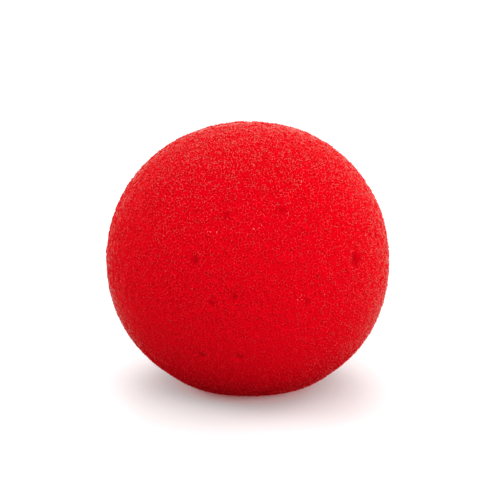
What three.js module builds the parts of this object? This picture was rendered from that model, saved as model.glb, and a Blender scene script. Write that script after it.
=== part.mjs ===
// Clown nose: a soft foam ball with a pocket in its back that slips over the wearer's nose.
// Millimetres, +Z up. The origin is the middle of the flat foot that the ball rests on.
// The ball's smooth front looks along -Y, and the pocket opens along +Y.
import * as THREE from "three";

// Driving sizes of the ball
const BALL_WIDTH = 50;
const BALL_DEPTH = 50;
const CROWN_HEIGHT = 23.9; // from the widest level up to the crown
const BELLY_HEIGHT = 23.7; // from the widest level down to where the round would end without a foot
const CROWN_POWER = 2.01; // 2 is an ellipse, and more is squarer in the shoulder
const BELLY_POWER = 2.2;
const FOOT_RADIUS = 8.5; // of the round's bottom that has settled flat

// Driving sizes of the pocket, whose mouth is measured along the ball's skin
const MOUTH_LENGTH = 34; // up and down, from tip to tip
const MOUTH_WIDTH = 10; // how far the cut gapes in its middle
const LIP_ROUNDING = 1.3; // how far the rounded edge of the cut reaches out and in
const FOAM_IN_FRONT = 25.5; // left solid between the ball's front and the pocket's floor

// The ball was cut by hand, so it is a little fuller or leaner in places than a true round.
// Bearing goes from the right (0) over the crown (90) to the left (180), as seen from the front.
// Spread is how far round the ball the place reaches, and swell is a share of the ball's radius.
const UNEVEN_PLACES = [
  { name: "right shoulder", bearing: 63, spread: 14, swell: 0.012 },
  { name: "right flank", bearing: 2, spread: 30, swell: -0.007 },
  { name: "lower right", bearing: -61, spread: 14, swell: 0.015 },
  { name: "lower left", bearing: -134, spread: 22, swell: -0.019 },
];

// Sections of the pocket from its lips to its floor, as shares of its depth, width and length
const POCKET_SECTIONS = [
  { depth: 0.22, width: 1.0, length: 1.0 },
  { depth: 0.45, width: 1.0, length: 0.98 },
  { depth: 0.65, width: 0.99, length: 0.95 },
  { depth: 0.8, width: 0.95, length: 0.89 },
  { depth: 0.9, width: 0.84, length: 0.78 },
  { depth: 0.965, width: 0.6, length: 0.57 },
  { depth: 0.992, width: 0.32, length: 0.31 },
];

// How finely the skin is divided
const POINTS_ROUND = 72; // in each ring, a multiple of 4 so that both tips and both sides get a point
const BALL_RINGS = 36; // from the middle of the front to the lips
const LIP_RINGS = 4;

const FOAM_RED = 0xdb0a1c;
const FOAM_ROUGHNESS = 0.9;

// The foot lies where the belly's curve is as wide as the foot, and the ball's centre stands over it
const footShare = FOOT_RADIUS / (BALL_WIDTH / 2);
const footDrop = BELLY_HEIGHT * (1 - footShare ** BELLY_POWER) ** (1 / BELLY_POWER);
const centre = new THREE.Vector3(0, 0, footDrop);

/** Share by which the ball is fuller (above 1) or leaner along a unit direction. */
function unevenness(direction) {
  let share = 1;
  for (const { bearing, spread, swell } of UNEVEN_PLACES) {
    const angle = THREE.MathUtils.degToRad(bearing);
    const middle = new THREE.Vector3(Math.cos(angle), 0, Math.sin(angle));
    const away = direction.angleTo(middle) / THREE.MathUtils.degToRad(spread);
    share += swell * Math.exp(-away * away);
  }
  return share;
}

/** Distance from the ball's centre to its skin along a unit direction, cut off flat at the foot. */
function reach(direction) {
  const above = direction.z > 0;
  const power = above ? CROWN_POWER : BELLY_POWER;
  const level = Math.abs(direction.z) / (above ? CROWN_HEIGHT : BELLY_HEIGHT);
  const round = Math.hypot(direction.x / (BALL_WIDTH / 2), direction.y / (BALL_DEPTH / 2));
  const skin = unevenness(direction) / (round ** power + level ** power) ** (1 / power);
  return above ? skin : Math.min(skin, footDrop / Math.max(-direction.z, Number.EPSILON));
}

/** The point of the ball's skin that lies along a unit direction from its centre. */
function skinPoint(direction) {
  return direction.clone().multiplyScalar(reach(direction)).add(centre);
}

/** Direction to a place on the ball's back, across and up from its middle along the skin. */
function backDirection(across, up) {
  const fromMiddle = Math.hypot(across, up);
  const angle = fromMiddle / (BALL_WIDTH / 2);
  const sideways = Math.sin(angle) / fromMiddle;
  return new THREE.Vector3(across * sideways, Math.cos(angle), up * sideways);
}

/**
 * The mouth's outline on the ball's back: two arcs that meet in a tip at the top and the bottom.
 * Each point gives the direction to the cut's edge and to the outside of its rounded lip.
 */
function mouthOutline() {
  const halfLength = MOUTH_LENGTH / 2;
  const halfWidth = MOUTH_WIDTH / 2;
  const arcRadius = (halfLength ** 2 + halfWidth ** 2) / (2 * halfWidth);
  const tipAngle = Math.asin(halfLength / arcRadius);
  const stepsPerSide = POINTS_ROUND / 2;
  const points = [];
  for (const side of [1, -1]) {
    for (let step = 0; step < stepsPerSide; step++) {
      const angle = side * tipAngle * ((2 * step) / stepsPerSide - 1);
      const across = side * (arcRadius * Math.cos(angle) - arcRadius + halfWidth);
      const up = arcRadius * Math.sin(angle);
      const atTip = step === 0;
      const outAcross = LIP_ROUNDING * (atTip ? 0 : side * Math.cos(angle));
      const outUp = LIP_ROUNDING * (atTip ? -side : Math.sin(angle));
      points.push({
        edge: backDirection(across, up),
        lip: backDirection(across + outAcross, up + outUp),
      });
    }
  }
  return points;
}

/** Rings of the ball's outside, from near the middle of the front to the outside of the lips. */
function ballRings(mouth) {
  const rings = [];
  for (let ring = 1; ring <= BALL_RINGS; ring++) {
    const share = ring / BALL_RINGS;
    const drawnToMouth = THREE.MathUtils.smoothstep(share, 0, 1);
    rings.push(
      mouth.map(({ lip }, index) => {
        const evenBearing = (2 * Math.PI * index) / POINTS_ROUND - Math.PI / 2;
        const lipBearing = Math.atan2(lip.z, lip.x);
        const turn = lipBearing - evenBearing;
        const shortestTurn = Math.atan2(Math.sin(turn), Math.cos(turn));
        const bearing = evenBearing + drawnToMouth * shortestTurn;
        const fromFront = share * Math.acos(-lip.y);
        const sideways = Math.sin(fromFront);
        return skinPoint(
          new THREE.Vector3(
            sideways * Math.cos(bearing),
            -Math.cos(fromFront),
            sideways * Math.sin(bearing),
          ),
        );
      }),
    );
  }
  return rings;
}

/** Rings that roll over the lips, from the ball's outside to the pocket's wall. */
function lipRings(mouth) {
  const rolls = mouth.map(({ edge, lip }) => {
    const corner = skinPoint(edge);
    const wall = corner.clone().setY(corner.y - LIP_ROUNDING);
    return new THREE.QuadraticBezierCurve3(skinPoint(lip), corner, wall);
  });
  const rings = [];
  for (let ring = 1; ring <= LIP_RINGS; ring++) {
    rings.push(rolls.map((roll) => roll.getPoint(ring / LIP_RINGS)));
  }
  return rings;
}

/** Rings down the pocket's wall, each the mouth made narrower and shorter, towards the floor. */
function pocketRings(mouth, floor) {
  return POCKET_SECTIONS.map(({ depth, width, length }) =>
    mouth.map(({ edge }) => {
      const corner = skinPoint(edge);
      return new THREE.Vector3(
        corner.x * width,
        THREE.MathUtils.lerp(corner.y - LIP_ROUNDING, floor.y, depth),
        THREE.MathUtils.lerp(floor.z, corner.z, length),
      );
    }),
  );
}

/** One closed skin through all the rings, with a point at each end. */
function skinThrough(first, rings, last) {
  const points = [first, ...rings.flat(), last];
  const lastRing = rings.length - 1;
  const at = (ring, index) => 1 + ring * POINTS_ROUND + (index % POINTS_ROUND);
  const faces = [];
  for (let index = 0; index < POINTS_ROUND; index++) {
    faces.push(0, at(0, index), at(0, index + 1));
    for (let ring = 0; ring < lastRing; ring++) {
      faces.push(at(ring, index), at(ring + 1, index), at(ring + 1, index + 1));
      faces.push(at(ring, index), at(ring + 1, index + 1), at(ring, index + 1));
    }
    faces.push(at(lastRing, index), points.length - 1, at(lastRing, index + 1));
  }
  const geometry = new THREE.BufferGeometry().setFromPoints(points);
  geometry.setIndex(faces);
  geometry.computeVertexNormals();
  return geometry;
}

/** The foam ball, one piece with its pocket. */
function foamBall() {
  const front = skinPoint(new THREE.Vector3(0, -1, 0));
  const floor = new THREE.Vector3(0, front.y + FOAM_IN_FRONT, centre.z);
  const mouth = mouthOutline();
  const rings = [...ballRings(mouth), ...lipRings(mouth), ...pocketRings(mouth, floor)];
  const foam = new THREE.MeshStandardMaterial({
    color: FOAM_RED,
    roughness: FOAM_ROUGHNESS,
    metalness: 0,
  });
  const mesh = new THREE.Mesh(skinThrough(front, rings, floor), foam);
  mesh.name = "foam_ball";
  return mesh;
}

const clownNose = new THREE.Group();
clownNose.add(foamBall());

export default clownNose;
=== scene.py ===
"""Looks of the foam clown nose: its open-cell skin, its torn strand tips, a pale studio and the camera."""

import logging
import math
from dataclasses import dataclass, field
from enum import Enum

import bpy
import numpy as np
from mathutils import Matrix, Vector, noise


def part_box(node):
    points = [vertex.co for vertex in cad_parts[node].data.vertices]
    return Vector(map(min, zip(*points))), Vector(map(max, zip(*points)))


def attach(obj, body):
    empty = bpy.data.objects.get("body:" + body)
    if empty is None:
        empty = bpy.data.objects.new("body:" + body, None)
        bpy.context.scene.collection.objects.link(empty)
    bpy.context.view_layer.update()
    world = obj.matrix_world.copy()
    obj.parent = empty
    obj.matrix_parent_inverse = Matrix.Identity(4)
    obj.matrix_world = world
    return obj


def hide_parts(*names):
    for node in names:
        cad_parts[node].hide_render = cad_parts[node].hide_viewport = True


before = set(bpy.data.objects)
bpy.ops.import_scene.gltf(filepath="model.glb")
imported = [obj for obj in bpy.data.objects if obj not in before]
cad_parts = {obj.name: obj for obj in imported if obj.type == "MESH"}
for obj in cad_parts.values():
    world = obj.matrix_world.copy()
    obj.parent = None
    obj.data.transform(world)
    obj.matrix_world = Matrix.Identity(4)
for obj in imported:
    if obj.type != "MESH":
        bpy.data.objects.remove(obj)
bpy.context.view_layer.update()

log = logging.getLogger("clown_nose")

MM = 0.001
BAKE_MAP = "OFBake"

Colour = tuple[float, float, float]


def select_only(thing: bpy.types.Object) -> None:
    """Makes one object the only selected and the active one.

    Args:
        thing: the object to select.
    """
    bpy.ops.object.select_all(action="DESELECT")
    thing.select_set(True)
    bpy.context.view_layer.objects.active = thing


def add_object(name: str, mesh: bpy.types.Mesh) -> bpy.types.Object:
    """Puts a mesh into the scene as an object at the origin.

    Args:
        name: the new object's name.
        mesh: the mesh that it shows.

    Returns:
        The new object, selected and active.
    """
    thing = bpy.data.objects.new(name, mesh)
    bpy.context.scene.collection.objects.link(thing)
    select_only(thing)
    return thing


def edit_all(thing: bpy.types.Object) -> None:
    """Opens an object in edit mode with all of its mesh selected.

    Args:
        thing: the object to open.
    """
    select_only(thing)
    bpy.ops.object.mode_set(mode="EDIT")
    bpy.ops.mesh.select_all(action="SELECT")


def finish_modifier(thing: bpy.types.Object, kind: str, **settings: object) -> None:
    """Adds one modifier to an object and applies it.

    Args:
        thing: the object that is shaped.
        kind: the modifier's type, in Blender's capitals.
        settings: the modifier's values by name.
    """
    select_only(thing)
    modifier = thing.modifiers.new(kind.lower(), kind)
    for name, value in settings.items():
        setattr(modifier, name, value)
    bpy.ops.object.modifier_apply(modifier=modifier.name)


def rows_of(items: bpy.types.bpy_prop_collection, what: str, width: int, kind: type) -> np.ndarray:
    """Reads one property of all points, edges or faces of a mesh.

    Args:
        items: the mesh's points, edges, faces or corners.
        what: the property's name.
        width: how many numbers each item holds.
        kind: the numbers' type.

    Returns:
        One row of numbers for each item.
    """
    flat = np.empty(len(items) * width, kind)
    items.foreach_get(what, flat)
    return flat.reshape(-1, width)


def unit(rows: np.ndarray) -> np.ndarray:
    """Scales each row of an array to length one."""
    return rows / np.linalg.norm(rows, axis=-1, keepdims=True)


def noise_at(points: np.ndarray, size: float) -> np.ndarray:
    """Reads smooth noise, from about -1 to 1, at each of the points.

    Args:
        points: one row for each point.
        size: how far the noise's humps lie apart.

    Returns:
        One value for each point.
    """
    return np.array([noise.noise(Vector(point) / size) for point in points])


@dataclass(frozen=True)
class PhotoView:
    """The photo's view of the ball, whose pixels are counted from the upper left corner.

    The camera stands rise degrees above the level.
    """

    image_px: int = 500
    ball_px: tuple[float, float] = (248.05, 257.6)
    px_per_mm: float = 5.67
    rise: float = 17.0
    distance: float = 400.0 * MM

    def towards_camera(self) -> Vector:
        """Gives the direction from the ball to the camera."""
        rise = math.radians(self.rise)
        return Vector((0.0, -math.cos(rise), math.sin(rise)))

    def up(self) -> Vector:
        """Gives the direction that is up in the picture."""
        rise = math.radians(self.rise)
        return Vector((0.0, math.sin(rise), math.cos(rise)))

    def direction(self, pixel: tuple[float, float], radius: float) -> Vector:
        """Finds the place on the ball that a pixel shows.

        Args:
            pixel: the pixel's x and y.
            radius: the ball's radius.

        Returns:
            The direction of the place from the ball's centre.
        """
        across = (pixel[0] - self.ball_px[0]) / self.px_per_mm * MM
        up = (self.ball_px[1] - pixel[1]) / self.px_per_mm * MM
        out = math.sqrt(max(radius**2 - across**2 - up**2, 0.0))
        nearer = 1 - out / self.distance
        flat = Vector((across, 0.0, 0.0)) + self.up() * up
        place = flat * nearer + self.towards_camera() * out
        return place.normalized()


@dataclass(frozen=True)
class FoamFinish:
    """Bright red open-cell foam, lighter on its strands and darker down in its cells, the darkening being
    painted shade.

    Colours are linear red, green and blue.
    """

    name: str = "red_foam"

    # Colours from the strands down into the cells, darker as painted shade, and the pale colour of the torn
    # tips, painted sheen and glints
    strand: Colour = (0.71, 0.0012, 0.009)
    wall_painted_shade: Colour = (0.62, 0.0004, 0.006)
    hollow_painted_shade: Colour = (0.46, 0.0003, 0.005)
    painted_sheen: Colour = (0.95, 0.5, 0.43)
    strand_ends: float = 0.25

    # Patches a little lighter and darker, and fine grit
    mottle_size: float = 0.7 * MM
    mottle_detail: float = 2.0
    mottle_range: tuple[float, float] = (0.3, 0.7)
    mottle: float = 0.05
    grit_size: float = 0.22 * MM
    grit_detail: float = 1.0
    grit_height: float = 0.03 * MM

    # The pale rim of the fuzz, and how matt the foam is
    sheen: float = 1.0
    sheen_tint: Colour = (1.0, 0.95, 0.82)
    sheen_roughness: float = 0.22
    roughness: float = 0.95
    gloss: float = 0.01

    def make(self) -> bpy.types.Material:
        """Builds the foam's material.

        Returns:
            A material that reads the attribute cell_depth as painted shade in the cells, and the tips'
            paleness attribute as painted sheen and glints.
        """
        material = bpy.data.materials.new(self.name)
        material.use_nodes = True
        tree = material.node_tree
        tree.nodes.clear()
        link = tree.links.new

        output = tree.nodes.new("ShaderNodeOutputMaterial")
        shader = tree.nodes.new("ShaderNodeBsdfPrincipled")
        link(shader.outputs["BSDF"], output.inputs["Surface"])
        shader.inputs["Roughness"].default_value = self.roughness
        shader.inputs["Specular IOR Level"].default_value = self.gloss
        shader.inputs["Sheen Weight"].default_value = self.sheen
        shader.inputs["Sheen Roughness"].default_value = self.sheen_roughness
        shader.inputs["Sheen Tint"].default_value = (*self.sheen_tint, 1.0)

        place = tree.nodes.new("ShaderNodeTexCoord")
        depth = tree.nodes.new("ShaderNodeAttribute")
        depth.attribute_name = "cell_depth"
        painted_sheen = tree.nodes.new("ShaderNodeAttribute")
        painted_sheen.attribute_name = "painted_sheen"

        mottle = tree.nodes.new("ShaderNodeTexNoise")
        mottle.inputs["Scale"].default_value = 1 / self.mottle_size
        mottle.inputs["Detail"].default_value = self.mottle_detail
        link(place.outputs["Object"], mottle.inputs["Vector"])

        # Painted shade: the colour darkens from the strands down into the cells
        painted_shade_ramp = tree.nodes.new("ShaderNodeValToRGB")
        ramp = painted_shade_ramp.color_ramp
        ramp.elements[0].color = (*self.strand, 1.0)
        ramp.elements[1].color = (*self.hollow_painted_shade, 1.0)
        ramp.elements.new(self.strand_ends).color = (*self.wall_painted_shade, 1.0)
        link(depth.outputs["Fac"], painted_shade_ramp.inputs["Fac"])

        patchy = tree.nodes.new("ShaderNodeMapRange")
        patchy.inputs["From Min"].default_value = self.mottle_range[0]
        patchy.inputs["From Max"].default_value = self.mottle_range[1]
        patchy.inputs["To Min"].default_value = 1.0 - self.mottle
        patchy.inputs["To Max"].default_value = 1.0 + self.mottle
        link(mottle.outputs["Fac"], patchy.inputs["Value"])

        mottled_painted_shade = tree.nodes.new("ShaderNodeVectorMath")
        mottled_painted_shade.operation = "SCALE"
        link(painted_shade_ramp.outputs["Color"], mottled_painted_shade.inputs["Vector"])
        link(patchy.outputs["Result"], mottled_painted_shade.inputs["Scale"])

        # Painted sheen and glints: the tips' pale colour mixed in by their paleness attribute
        with_painted_sheen = tree.nodes.new("ShaderNodeMix")
        with_painted_sheen.data_type = "RGBA"
        link(painted_sheen.outputs["Fac"], with_painted_sheen.inputs["Factor"])
        link(mottled_painted_shade.outputs["Vector"], with_painted_sheen.inputs["A"])
        with_painted_sheen.inputs["B"].default_value = (*self.painted_sheen, 1.0)
        link(with_painted_sheen.outputs["Result"], shader.inputs["Base Color"])

        grit = tree.nodes.new("ShaderNodeTexNoise")
        grit.inputs["Scale"].default_value = 1 / self.grit_size
        grit.inputs["Detail"].default_value = self.grit_detail
        link(place.outputs["Object"], grit.inputs["Vector"])
        bump = tree.nodes.new("ShaderNodeBump")
        bump.inputs["Distance"].default_value = self.grit_height
        link(grit.outputs["Fac"], bump.inputs["Height"])
        link(bump.outputs["Normal"], shader.inputs["Normal"])
        return material


@dataclass(frozen=True)
class FloorFinish:
    """Plain white board, which throws back less light on the ball than it shows, least near the foot:
    painted shade on the ball's belly.

    A faint painted red glow lies round the ball's foot, an emission that only the camera sees, standing in
    for light that comes through the foam.
    """

    white: Colour = (0.92, 0.95, 0.95)
    # Painted shade: the floor throws back light with a darker grey than it shows, darkest near the foot
    thrown_back_near: float = 0.1
    thrown_back_far: float = 0.38
    near: float = 15.0 * MM
    far: float = 40.0 * MM
    # Painted glow: red emission round the foot, seen only by the camera
    painted_glow: Colour = (1.0, 0.03, 0.03)
    painted_glow_strength: float = 0.16
    painted_glow_inside: float = 10.0 * MM
    painted_glow_outside: float = 15.0 * MM

    def make(self) -> bpy.types.Material:
        """Builds the floor's material.

        Returns:
            A material that has the ball's foot at the middle of its Object coordinates.
        """
        material = bpy.data.materials.new("white_board")
        material.use_nodes = True
        tree = material.node_tree
        tree.nodes.clear()
        link = tree.links.new
        path = tree.nodes.new("ShaderNodeLightPath")
        either = tree.nodes.new("ShaderNodeMixShader")
        output = tree.nodes.new("ShaderNodeOutputMaterial")
        link(path.outputs["Is Camera Ray"], either.inputs["Fac"])
        link(either.outputs["Shader"], output.inputs["Surface"])

        place = tree.nodes.new("ShaderNodeTexCoord")
        away = tree.nodes.new("ShaderNodeVectorMath")
        away.operation = "LENGTH"
        link(place.outputs["Object"], away.inputs[0])

        # Painted shade: light that bounces on meets a darker floor, darkest near the foot
        dull = tree.nodes.new("ShaderNodeBsdfDiffuse")
        dulling = self.change(tree, self.near, self.far, self.thrown_back_near, self.thrown_back_far)
        link(away.outputs["Value"], dulling.inputs["Value"])
        link(dulling.outputs["Result"], dull.inputs["Color"])
        link(dull.outputs["BSDF"], either.inputs[1])

        shown = tree.nodes.new("ShaderNodeBsdfDiffuse")
        shown.inputs["Color"].default_value = (*self.white, 1.0)
        # Painted red glow round the foot, which only the camera sees
        painted_glow = tree.nodes.new("ShaderNodeEmission")
        painted_glow.inputs["Color"].default_value = (*self.painted_glow, 1.0)
        painted_glow_fading = self.change(tree, self.painted_glow_inside, self.painted_glow_outside, self.painted_glow_strength, 0.0)
        link(away.outputs["Value"], painted_glow_fading.inputs["Value"])
        link(painted_glow_fading.outputs["Result"], painted_glow.inputs["Strength"])
        both = tree.nodes.new("ShaderNodeAddShader")
        link(shown.outputs["BSDF"], both.inputs[0])
        link(painted_glow.outputs["Emission"], both.inputs[1])
        link(both.outputs["Shader"], either.inputs[2])
        return material

    def change(
        self, tree: bpy.types.NodeTree, inside: float, outside: float, first: float, last: float
    ) -> bpy.types.Node:
        """Adds a node that changes a value smoothly between two distances from the foot.

        Args:
            tree: the material's nodes.
            inside: the distance where the change begins.
            outside: the distance where it ends.
            first: the value up to where it begins.
            last: the value from where it ends.

        Returns:
            The new node, which takes the distance.
        """
        node = tree.nodes.new("ShaderNodeMapRange")
        node.interpolation_type = "SMOOTHSTEP"
        node.inputs["From Min"].default_value = inside
        node.inputs["From Max"].default_value = outside
        node.inputs["To Min"].default_value = first
        node.inputs["To Max"].default_value = last
        return node


class BakePatch(Enum):
    """The patches of the skin's bake map, each with its column and row on the sheet.

    The six sides come first: those that face along +X, +Y and +Z, and then along -X, -Y and -Z.
    """

    RIGHT = (0, 0)
    BACK = (1, 0)
    CROWN = (2, 0)
    LEFT = (0, 1)
    FRONT = (1, 1)
    FOOT = (2, 1)
    POCKET_RIGHT = (0, 2)
    POCKET_LEFT = (1, 2)


OUTER_PATCHES = 6
PATCHES_ACROSS = 3


@dataclass(frozen=True)
class Pit:
    """A place where larger cells lie open, sunk into the skin and darkened with painted shade.

    Its place is a pixel of the photo, or a direction from the ball's centre where the photo doesn't show it.
    """

    place: tuple[float, ...]
    width: float
    height: float
    depth: float


@dataclass
class FoamBall:
    """The foam ball, a closed skin of open cells that lie sunk between raised strands."""

    view: PhotoView
    node: str = "foam_ball"
    radius: float = 25.0 * MM
    crown_height: float = 23.9 * MM

    # The solid made smooth
    merge_within: float = 0.001 * MM
    rounding_levels: int = 2

    # The net that becomes the cells
    grid: float = 0.4 * MM
    cells: int = 28000
    jitter: float = 0.12 * MM
    evening: float = 0.5
    evening_rounds: int = 2

    # The cells' relief, and the painted shade that each point takes down in them, from 0 to 1
    cell_depth: float = 0.11 * MM
    depth_spread: float = 0.35
    roughness: float = 0.06 * MM
    widest_spread: float = 2.0
    cell_shade: float = 0.6
    cell_shade_spread: float = 0.3
    strand_shade: float = 0.12
    crease_angle: float = 50.0

    # The skin's soft swells, as the distance between them and their height
    swells: tuple[tuple[float, float], ...] = (
        (7.0 * MM, 0.06 * MM),
        (1.6 * MM, 0.08 * MM),
        (0.72 * MM, 0.13 * MM),
    )

    # The belly is smoother and, as painted shade, takes a copy of the foam without sheen; the foot settles
    # wider, most of all at its sides
    belly_relief: float = 0.18
    belly_level: float = 13.0 * MM
    settled: float = 0.12 * MM
    settled_aside: float = 0.65 * MM
    settled_level: float = 3.5 * MM
    shaded_copy_from: float = 6.0 * MM
    shaded_copy_to: float = 15.0 * MM

    # Pits that the photo shows, and how the others are drawn
    pits: tuple[Pit, ...] = (
        Pit(place=(354, 260), width=2.0 * MM, height=2.4 * MM, depth=0.5 * MM),
        Pit(place=(195, 260), width=1.2 * MM, height=1.5 * MM, depth=0.35 * MM),
        Pit(place=(226, 215), width=0.9 * MM, height=0.9 * MM, depth=0.3 * MM),
        Pit(place=(282, 209), width=1.3 * MM, height=1.0 * MM, depth=0.25 * MM),
        Pit(place=(234, 297), width=0.9 * MM, height=1.0 * MM, depth=0.45 * MM),
        Pit(place=(212, 303), width=1.1 * MM, height=0.9 * MM, depth=0.45 * MM),
        Pit(place=(204, 352), width=1.0 * MM, height=1.0 * MM, depth=0.45 * MM),
        Pit(place=(239, 354), width=1.1 * MM, height=0.9 * MM, depth=0.45 * MM),
        Pit(place=(306, 302), width=0.9 * MM, height=0.9 * MM, depth=0.3 * MM),
        Pit(place=(374, 235), width=0.9 * MM, height=0.9 * MM, depth=0.3 * MM),
    )
    unseen_pits: int = 40
    unseen_below: float = 0.1
    unseen_pit_sizes: tuple[float, float] = (0.5 * MM, 1.1 * MM)
    unseen_pit_depth: float = 0.45
    pit_reach: float = 0.1

    # Where the bake map takes a triangle to be inside the pocket, and how its patches lie
    pocket_radius: float = 23.6 * MM
    pocket_half_width: float = 7.0 * MM
    pocket_half_length: float = 18.0 * MM
    pocket_front: float = -1.0 * MM
    pocket_wall_length: float = 31.0 * MM
    patch_margin: float = 0.95

    seed: int = 7
    centre: Vector = field(default_factory=Vector)

    def build(self, foam: bpy.types.Material, shaded_copy_foam: bpy.types.Material) -> bpy.types.Object:
        """Models the ball's skin and dresses it.

        Args:
            foam: the material of the fuzzy skin.
            shaded_copy_foam: the foam's copy without sheen, which paints the belly as shaded.

        Returns:
            The finished piece.
        """
        smooth = self.round_out()
        skin = self.even_skin(smooth)
        self.divide_into_cells(skin)
        self.sink_cells(skin)
        self.map_for_bake(skin.data)
        self.dress(skin.data, foam, shaded_copy_foam)
        bpy.data.objects.remove(smooth)
        return skin

    def round_out(self) -> bpy.types.Object:
        """Copies the solid, merges its loose triangles and rounds off its facets.

        Returns:
            The smooth ball with its pocket.
        """
        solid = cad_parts[self.node]
        _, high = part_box(self.node)
        self.centre = Vector((0.0, 0.0, high.z - self.crown_height))
        ball = add_object("smooth_ball", solid.data.copy())
        edit_all(ball)
        bpy.ops.mesh.remove_doubles(threshold=self.merge_within)
        bpy.ops.mesh.tris_convert_to_quads(face_threshold=math.pi, shape_threshold=math.pi)
        bpy.ops.object.mode_set(mode="OBJECT")
        levels = self.rounding_levels
        finish_modifier(ball, "SUBSURF", levels=levels, render_levels=levels)
        return ball

    def even_skin(self, smooth: bpy.types.Object) -> bpy.types.Object:
        """Covers the smooth ball with an even, irregular net of triangles.

        The net's grid is turned so that its finest part faces the front.

        Args:
            smooth: the smooth ball.

        Returns:
            The netted ball, one point for each cell to come.
        """
        grid_corner = Vector((1.0, 1.0, 1.0))
        front = Vector((0.0, -1.0, 0.0))
        turn = grid_corner.rotation_difference(front).to_matrix().to_4x4()
        skin = add_object("foam_skin", smooth.data.copy())
        skin.data.transform(turn.inverted())
        finish_modifier(skin, "REMESH", mode="VOXEL", voxel_size=self.grid)
        skin.data.transform(turn)
        edit_all(skin)
        bpy.ops.mesh.quads_convert_to_tris(quad_method="SHORTEST_DIAGONAL")
        bpy.ops.transform.vertex_random(offset=self.jitter, seed=self.seed)
        bpy.ops.object.mode_set(mode="OBJECT")
        finish_modifier(skin, "DECIMATE", ratio=self.cells / len(skin.data.vertices))
        finish_modifier(skin, "SMOOTH", factor=self.evening, iterations=self.evening_rounds)
        finish_modifier(skin, "SHRINKWRAP", target=smooth, wrap_method="NEAREST_SURFACEPOINT")
        edit_all(skin)
        bpy.ops.mesh.beautify_fill(angle_limit=math.pi)
        bpy.ops.object.mode_set(mode="OBJECT")
        return skin

    def divide_into_cells(self, skin: bpy.types.Object) -> None:
        """Turns each point of the net into a many-sided cell.

        Args:
            skin: the netted ball.
        """
        group = bpy.data.node_groups.new("cells", "GeometryNodeTree")
        group.interface.new_socket("Geometry", in_out="INPUT", socket_type="NodeSocketGeometry")
        group.interface.new_socket("Geometry", in_out="OUTPUT", socket_type="NodeSocketGeometry")
        entry = group.nodes.new("NodeGroupInput")
        dual = group.nodes.new("GeometryNodeDualMesh")
        end = group.nodes.new("NodeGroupOutput")
        group.links.new(entry.outputs[0], dual.inputs[0])
        group.links.new(dual.outputs[0], end.inputs[0])
        finish_modifier(skin, "NODES", node_group=group)

    def sink_cells(self, skin: bpy.types.Object) -> None:
        """Pushes the middle of each cell in, leaves its border as a strand, and stores how much painted
        shade each point takes.

        Args:
            skin: the ball with its flat cells.
        """
        borders = len(skin.data.vertices)
        edit_all(skin)
        bpy.ops.mesh.poke(offset=0.0, use_relative_offset=False, center_mode="MEDIAN")
        bpy.ops.object.mode_set(mode="OBJECT")
        mesh = skin.data
        points = rows_of(mesh.vertices, "co", 3, float)
        normals = rows_of(mesh.vertices, "normal", 3, float)
        draw = np.random.default_rng(self.seed)
        is_hollow = np.arange(len(points)) >= borders
        spread = draw.normal(0.0, 1.0, len(points))
        shift = np.where(
            is_hollow,
            -self.cell_depth * (1 + self.depth_spread * np.abs(spread)),
            self.roughness * spread.clip(-self.widest_spread, self.widest_spread),
        )
        for size, height in self.swells:
            shift += height * noise_at(points, size)
        below = ((self.centre.z - points[:, 2]) / self.belly_level).clip(0, 1)
        shift *= 1 - (1 - self.belly_relief) * below
        aside = np.cos(np.arctan2(points[:, 1], points[:, 0])) ** 2
        settled = self.settled + self.settled_aside * aside
        shift += settled * (1 - points[:, 2] / self.settled_level).clip(0, 1)
        # Painted shade: darker deep in the cells and in the pits, kept in cell_depth
        painted_shade = np.where(
            is_hollow,
            self.cell_shade + self.cell_shade_spread * np.abs(spread),
            self.strand_shade * (1 - spread),
        )
        for pit in self.all_pits(draw):
            share = self.share_in_pit(pit, points)
            shift -= pit.depth * share
            painted_shade += share
        moved = points + normals * shift[:, None]
        moved[:, 2] = moved[:, 2].clip(0.0, None)
        mesh.vertices.foreach_set("co", moved.ravel())
        depth = mesh.attributes.new("cell_depth", "FLOAT", "POINT")
        depth.data.foreach_set("value", painted_shade.clip(0, 1))
        mesh.attributes.new("painted_sheen", "FLOAT", "POINT")
        mesh.update()
        select_only(skin)
        bpy.ops.object.shade_smooth_by_angle(angle=math.radians(self.crease_angle))

    def all_pits(self, draw: np.random.Generator) -> list[Pit]:
        """Lists the pits that the photo shows, and others on the sides that it doesn't show.

        Args:
            draw: where the chance comes from.

        Returns:
            The pits, those of the unseen sides with a direction as their place.
        """
        pits = list(self.pits)
        camera = self.view.towards_camera()
        while len(pits) < len(self.pits) + self.unseen_pits:
            direction = Vector(draw.normal(0.0, 1.0, 3)).normalized()
            width, height = draw.uniform(*self.unseen_pit_sizes, 2)
            if direction.dot(camera) < self.unseen_below:
                depth = self.unseen_pit_depth * min(width, height)
                pits.append(Pit(tuple(direction), width, height, depth))
        return pits

    def share_in_pit(self, pit: Pit, points: np.ndarray) -> np.ndarray:
        """Tells how far each point lies inside a pit.

        Args:
            pit: the pit.
            points: one row for each point.

        Returns:
            One value for each point, from 0 outside the pit to 1 in its middle.
        """
        is_pixel = len(pit.place) == 2
        out = self.view.direction(pit.place, self.radius) if is_pixel else Vector(pit.place)
        across = Vector((0.0, 0.0, 1.0)).cross(out).normalized()
        up = out.cross(across)
        away = points - np.array(self.centre + out * self.radius)
        sideways = away @ np.array(across) / (pit.width / 2)
        upward = away @ np.array(up) / (pit.height / 2)
        inward = away @ np.array(out) / self.radius
        return np.exp(-(sideways**2) - upward**2) * (inward > -self.pit_reach)

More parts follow.
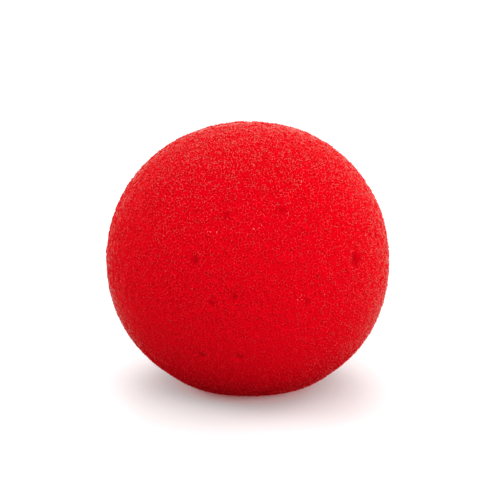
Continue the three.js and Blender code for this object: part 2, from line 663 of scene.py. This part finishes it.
    def dress(self, mesh: bpy.types.Mesh, foam: bpy.types.Material, shaded_copy_foam: bpy.types.Material) -> None:
        """Gives the skin its materials, the foam and its copy without sheen, which paints the belly as
        shaded; they mix face by face round the upper edge of the belly.

        Args:
            mesh: the finished skin.
            foam: the material of the fuzzy skin.
            shaded_copy_foam: the foam's copy without sheen, painted shade for the belly.
        """
        mesh.materials.clear()
        mesh.materials.append(foam)
        mesh.materials.append(shaded_copy_foam)
        below = self.centre.z - rows_of(mesh.polygons, "center", 3, float)[:, 2]
        chance = (below - self.shaded_copy_from) / (self.shaded_copy_to - self.shaded_copy_from)
        drawn = np.random.default_rng(self.seed).uniform(0.0, 1.0, len(chance))
        mesh.polygons.foreach_set("material_index", (drawn < chance).astype(np.int32))
        mesh.update()

    def map_for_bake(self, mesh: bpy.types.Mesh) -> None:
        """Lays the skin's triangles out in patches, one for each side and each pocket wall.

        Args:
            mesh: the finished skin, all triangles.
        """
        corners = rows_of(mesh.loops, "vertex_index", 1, np.int32).reshape(-1, 3)
        place = rows_of(mesh.vertices, "co", 3, float)[corners] - np.array(self.centre)
        middle = place.mean(axis=1)
        size = np.abs(middle)
        in_pocket = (
            (np.linalg.norm(middle, axis=1) < self.pocket_radius)
            & (size[:, 0] < self.pocket_half_width)
            & (size[:, 2] < self.pocket_half_length)
            & (middle[:, 1] > self.pocket_front)
        )
        axis = size.argmax(axis=1)
        on_far_side = np.take_along_axis(middle, axis[:, None], axis=1)[:, 0] < 0
        patch = np.where(in_pocket, OUTER_PATCHES + (middle[:, 0] < 0), axis + 3 * on_far_side)
        sheet = np.empty((len(place), 3, 2))
        for index, corner in enumerate(entry.value for entry in BakePatch):
            chosen = patch == index
            part = place[chosen]
            if index < OUTER_PATCHES:
                forward = np.abs(part[:, :, index % 3])
                flat = np.stack([part[:, :, (index + 1) % 3], part[:, :, (index + 2) % 3]], axis=2)
                inside = np.arctan(flat / forward[:, :, None]) * 4 / math.pi
            else:
                along = (part[:, :, 1] + np.abs(part[:, :, 0])) / self.pocket_wall_length * 2 - 1
                inside = np.stack([along, part[:, :, 2] / self.pocket_half_length], axis=2)
            in_patch = 0.5 + 0.5 * self.patch_margin * inside
            sheet[chosen] = (np.array(corner) + in_patch) / PATCHES_ACROSS
        mesh.uv_layers.new(name=BAKE_MAP).data.foreach_set("uv", sheet.ravel())


@dataclass
class TornTips:
    """The torn ends of cut strands, as three-sided spikes that stand up on one part of the foam.

    They are longest on the crown and the right flank, where the light falls and their painted sheen is
    strongest, and short and with faint painted sheen on the belly.
    """

    view: PhotoView
    name: str
    lowest: float
    highest: float
    count: int = 49000

    # One spike, whose root reaches below the skin by a share of its height
    base: float = 0.048 * MM
    length: float = 0.19 * MM
    length_spread: float = 0.4
    length_limits: tuple[float, float] = (0.3, 2.4)
    lean: float = 0.35
    root: float = 0.15

    # How the fuzz and its painted sheen come and go over the ball, most on the crown and the right flank
    # where the light falls
    bare_level: float = -12.0 * MM
    fuzzy_level: float = 22.0 * MM
    crown_fade: float = 2.0
    flank_fuzz_and_sheen: float = 0.8
    flank_fade: float = 2.0
    bare_length: float = 0.6
    belly_painted_sheen: float = 0.1
    painted_sheen_amount: float = 0.28
    painted_sheen_most: float = 2.0

    # Where the spikes grow
    strand_limit: float = 0.5
    cluster_size: float = 0.75 * MM
    cluster_strength: float = 2.0

    # Painted glints on the front: tips at these pixels of the photo take the full pale colour
    painted_glint_px: tuple[tuple[int, int], ...] = (
        (300, 182),
        (210, 232),
        (216, 232),
        (254, 227),
        (260, 225),
        (288, 213),
        (300, 295),
    )
    painted_glint_reach: float = 1.0 * MM
    tips_per_painted_glint: int = 4

    square_share: float = 0.45
    seed: int = 11

    def build(self, ball: FoamBall, skin: bpy.types.Object, foam: bpy.types.Material) -> bpy.types.Object:
        """Stands spikes on the skin's strands, more of them in some places than in others.

        Args:
            ball: the ball that the skin belongs to.
            skin: the finished foam skin.
            foam: the foam's material.

        Returns:
            The piece that holds all the spikes.
        """
        draw = np.random.default_rng(self.seed)
        roots, normals = self.pick_roots(skin.data, draw)
        upright = unit(normals + self.lean * draw.normal(0.0, 1.0, roots.shape))
        sideways = unit(np.cross(upright, draw.normal(0.0, 1.0, roots.shape)))
        across = np.cross(upright, sideways)
        stretch = np.exp(self.length_spread * draw.normal(0.0, 1.0, self.count))
        length = self.length * stretch.clip(*self.length_limits)
        # Painted sheen: each tip's paleness, strongest on the crown and the right flank where the light
        # falls
        painted_sheen = self.painted_sheen_amount * draw.uniform(0.0, self.painted_sheen_most, self.count)
        above = (roots[:, 2] - ball.centre.z - self.bare_level) / (self.fuzzy_level - self.bare_level)
        aside = (roots[:, 0] / ball.radius).clip(0, 1)
        on_crown = above.clip(0, 1) ** self.crown_fade
        fuzz_and_painted_sheen = (on_crown + self.flank_fuzz_and_sheen * aside**self.flank_fade).clip(0, 1)
        length *= self.bare_length + (1 - self.bare_length) * fuzz_and_painted_sheen
        painted_sheen *= self.belly_painted_sheen + (1 - self.belly_painted_sheen) * fuzz_and_painted_sheen
        # Painted glints: the nearest tips to each pixel are made fully pale
        for pixel in self.painted_glint_px:
            place = np.array(ball.centre + self.view.direction(pixel, ball.radius) * ball.radius)
            nearest = np.linalg.norm(roots - place, axis=1).argsort()[: self.tips_per_painted_glint]
            if np.linalg.norm(roots[nearest[0]] - place) < self.painted_glint_reach:
                painted_sheen[nearest] = 1.0

        shape, faces = self.spike()
        points = (
            roots[:, None]
            + self.base * (shape[None, :, :1] * sideways[:, None] + shape[None, :, 1:2] * across[:, None])
            + (length[:, None] * shape[None, :, 2])[:, :, None] * upright[:, None]
        )
        corners = faces[None] + len(shape) * np.arange(self.count)[:, None, None]
        mesh = bpy.data.meshes.new(self.name)
        mesh.from_pydata(points.reshape(-1, 3).tolist(), [], corners.reshape(-1, 3).tolist())
        mesh.attributes.new("cell_depth", "FLOAT", "POINT")
        painted_sheen_amount = mesh.attributes.new("painted_sheen", "FLOAT", "POINT")
        painted_sheen_amount.data.foreach_set("value", np.repeat(painted_sheen, len(shape)))
        self.map_for_bake(mesh, len(faces))
        mesh.update()
        mesh.materials.append(foam)
        return add_object(self.name, mesh)

    def pick_roots(
        self, mesh: bpy.types.Mesh, draw: np.random.Generator
    ) -> tuple[np.ndarray, np.ndarray]:
        """Picks the places along the strands that the spikes grow from.

        Args:
            mesh: the finished foam skin.
            draw: where the chance comes from.

        Returns:
            The places and the skin's outward directions there, one row each for each spike.
        """
        points = rows_of(mesh.vertices, "co", 3, float)
        normals = rows_of(mesh.vertices, "normal", 3, float)
        depth = rows_of(mesh.attributes["cell_depth"].data, "value", 1, np.float32)[:, 0]
        strands = rows_of(mesh.edges, "vertices", 2, np.int32)
        height = points[strands][:, :, 2]
        kept = (depth[strands] < self.strand_limit).all(axis=1)
        kept &= (height > self.lowest).all(axis=1) & (height.mean(axis=1) < self.highest)
        strands = strands[kept]
        middles = points[strands].mean(axis=1)
        length = np.linalg.norm(points[strands[:, 0]] - points[strands[:, 1]], axis=1)
        chance = length * np.exp(self.cluster_strength * noise_at(middles, self.cluster_size))
        picked = strands[draw.choice(len(strands), self.count, p=chance / chance.sum())]
        share = draw.uniform(0.0, 1.0, (self.count, 1))
        roots = points[picked[:, 0]] * share + points[picked[:, 1]] * (1 - share)
        return roots, unit(normals[picked[:, 0]] * share + normals[picked[:, 1]] * (1 - share))

    def spike(self) -> tuple[np.ndarray, np.ndarray]:
        """Models one spike, one unit wide and high, with its root a little below the skin.

        Returns:
            Its points and its triangles, as arrays.
        """
        bpy.ops.object.select_all(action="DESELECT")
        middle = (1.0 - self.root) / 2
        bpy.ops.mesh.primitive_cone_add(
            vertices=3, radius1=1.0, depth=1.0 + self.root, location=(0.0, 0.0, middle)
        )
        cone = bpy.context.object
        bpy.ops.object.transform_apply(location=True)
        points = rows_of(cone.data.vertices, "co", 3, float)
        faces = np.array([list(face.vertices) for face in cone.data.polygons])
        bpy.data.objects.remove(cone)
        return points, faces

    def map_for_bake(self, mesh: bpy.types.Mesh, sides: int) -> None:
        """Lays each spike out in a square of its own, cut into four triangles by its diagonals.

        Args:
            mesh: the mesh of all the spikes.
            sides: how many triangles a spike has.
        """
        per_row = math.ceil(math.sqrt(self.count))
        turns = np.arange(sides + 1) * (math.pi / 2)
        rim = self.square_share * np.stack([np.cos(turns), np.sin(turns)], axis=1)
        one = np.stack([rim[:-1], rim[1:], np.zeros((sides, 2))], axis=1)
        number = np.arange(self.count)
        square = np.stack([number % per_row, number // per_row], axis=1) + 0.5
        sheet = (square[:, None, None] + one[None]) / per_row
        mesh.uv_layers.new(name=BAKE_MAP).data.foreach_set("uv", sheet.ravel())


@dataclass(frozen=True)
class Softbox:
    """One square lamp that points at the ball, in metres from the ball's centre and in watts."""

    name: str
    place: tuple[float, float, float]
    size: float
    power: float

    def hang(self, centre: Vector) -> None:
        """Hangs the lamp.

        Args:
            centre: the ball's centre.
        """
        lamp = bpy.data.lights.new(self.name, "AREA")
        lamp.shape = "SQUARE"
        lamp.size = self.size
        lamp.energy = self.power
        holder = bpy.data.objects.new(self.name, lamp)
        bpy.context.scene.collection.objects.link(holder)
        away = Vector(self.place)
        holder.location = centre + away
        holder.rotation_euler = (-away).to_track_quat("-Z", "Y").to_euler()


@dataclass
class Studio:
    """The plain pale floor, the soft lights and the camera at the photo's angle."""

    view: PhotoView
    sensor: float = 36.0
    floor_radius: float = 3000 * MM
    floor_sides: int = 96
    room_colour: Colour = (1.0, 1.0, 1.0)
    ambient: float = 1.1
    softboxes: tuple[Softbox, ...] = (
        Softbox("softbox_right", place=(0.6, -0.5, 0.2), size=0.5, power=3.1),
        Softbox("softbox_front", place=(0.3, -0.75, 0.15), size=0.4, power=0.75),
        Softbox("softbox_left", place=(-0.75, 0.05, 0.3), size=0.5, power=2.4),
        Softbox("softbox_back", place=(0.0, 0.55, 0.5), size=0.5, power=2.1),
        Softbox("softbox_back_right", place=(0.6, 0.45, 0.2), size=0.4, power=1.3),
    )

    def build(self, centre: Vector) -> None:
        """Sets up the floor, the lights and the camera.

        Args:
            centre: the ball's centre.
        """
        self.lay_floor()
        self.light_room()
        for softbox in self.softboxes:
            softbox.hang(centre)
        self.aim_camera(centre)

    def lay_floor(self) -> None:
        """Lays the white board that the ball rests on."""
        bpy.ops.object.select_all(action="DESELECT")
        bpy.ops.mesh.primitive_circle_add(
            vertices=self.floor_sides, radius=self.floor_radius, fill_type="NGON"
        )
        floor = bpy.context.object
        floor.name = "studio_floor"
        floor.data.materials.append(FloorFinish().make())

    def light_room(self) -> None:
        """Fills the room with soft white light."""
        world = bpy.data.worlds.new("pale_room")
        bpy.context.scene.world = world
        world.use_nodes = True
        background = world.node_tree.nodes["Background"]
        background.inputs["Strength"].default_value = self.ambient
        background.inputs["Color"].default_value = (*self.room_colour, 1.0)

    def aim_camera(self, centre: Vector) -> None:
        """Puts the camera where it frames the ball as the photo does.

        Args:
            centre: the ball's centre.
        """
        view = self.view
        frame_width = view.image_px / view.px_per_mm * MM
        lens = bpy.data.cameras.new("camera")
        lens.sensor_width = self.sensor
        lens.lens = self.sensor * view.distance / frame_width
        camera = bpy.data.objects.new("camera", lens)
        bpy.context.scene.collection.objects.link(camera)
        across_px = view.image_px / 2 - view.ball_px[0]
        up_px = view.ball_px[1] - view.image_px / 2
        shown = Vector((across_px, 0.0, 0.0)) + view.up() * up_px
        target = centre + shown / view.px_per_mm * MM
        camera.location = target + view.towards_camera() * view.distance
        camera.rotation_euler = (-view.towards_camera()).to_track_quat("-Z", "Y").to_euler()
        bpy.context.scene.camera = camera
        bpy.context.scene.view_settings.view_transform = "Standard"


def main() -> None:
    """Builds the nose and its studio, in order."""
    logging.basicConfig(level=logging.INFO, format="%(name)s: %(message)s")
    view = PhotoView()
    # The foam's copy without sheen: painted shade on the belly; the tips take it too and carry painted sheen
    # in their colour
    shaded_copy_foam = FoamFinish(name="shaded_copy_foam", sheen=0.0).make()
    ball = FoamBall(view)
    skin = ball.build(FoamFinish().make(), shaded_copy_foam)
    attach(skin, "root")
    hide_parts("foam_ball")
    log.info("foam skin: %d faces", len(skin.data.polygons))

    middle = ball.centre.z
    for tips in (
        TornTips(view, "torn_tips_upper", lowest=middle, highest=math.inf),
        TornTips(view, "torn_tips_lower", lowest=0.5 * MM, highest=middle, seed=12),
    ):
        piece = tips.build(ball, skin, shaded_copy_foam)
        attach(piece, "root")
        log.info("%s: %d faces", piece.name, len(piece.data.polygons))

    Studio(view).build(ball.centre)


if __name__ == "__main__":
    main()
